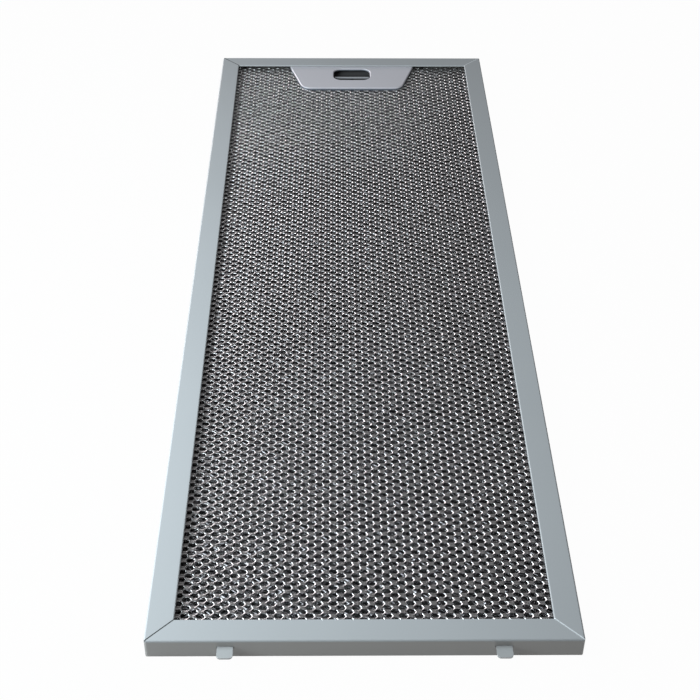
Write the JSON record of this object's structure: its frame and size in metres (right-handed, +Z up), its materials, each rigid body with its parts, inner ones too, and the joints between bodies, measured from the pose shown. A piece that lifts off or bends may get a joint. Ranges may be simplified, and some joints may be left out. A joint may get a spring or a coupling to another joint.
{
  "type": "cooker hood grease filter",
  "caption": "Flat rectangular grease filter for a cooker hood: mitred channel frame, expanded mesh, hook tabs on one end and a finger plate with a sprung sliding latch on the other.",
  "frame": {"origin": "middle of the back face, on the surface that the filter lies on", "axes": "+X across the filter, +Y along it towards the latch end, +Z up out of the front face"},
  "size_m": [0.18, 0.532, 0.01],
  "materials": {
    "frame_metal": "satin anodised sheet",
    "mesh_metal": "bright expanded foil",
    "plate_metal": "satin pressed sheet",
    "latch_metal": "bright zinc-plated strip",
    "spring_metal": "spring steel strip",
    "tab_metal": "bright zinc-plated strip"
  },
  "bodies": {
    "filter": {"frame": "frame_metal", "front_mesh": "mesh_metal", "core_mesh_1": "mesh_metal", "core_mesh_2": "mesh_metal", "core_mesh_3": "mesh_metal", "back_mesh": "mesh_metal", "handle_plate": "plate_metal", "latch_housing": "plate_metal", "latch_spring": "spring_metal", "hook_tab_left": "tab_metal", "hook_tab_right": "tab_metal"},
    "latch": {"latch_slide": "latch_metal"}
  },
  "joints": [
    {"name": "latch_pull", "type": "slide", "parent": "filter", "child": "latch", "axis": [0, -1, 0], "range_m": [0, 0.006], "stiffness_N_per_m": 350, "springref_m": -0.004, "deforming": ["latch_spring"]}
  ]
}
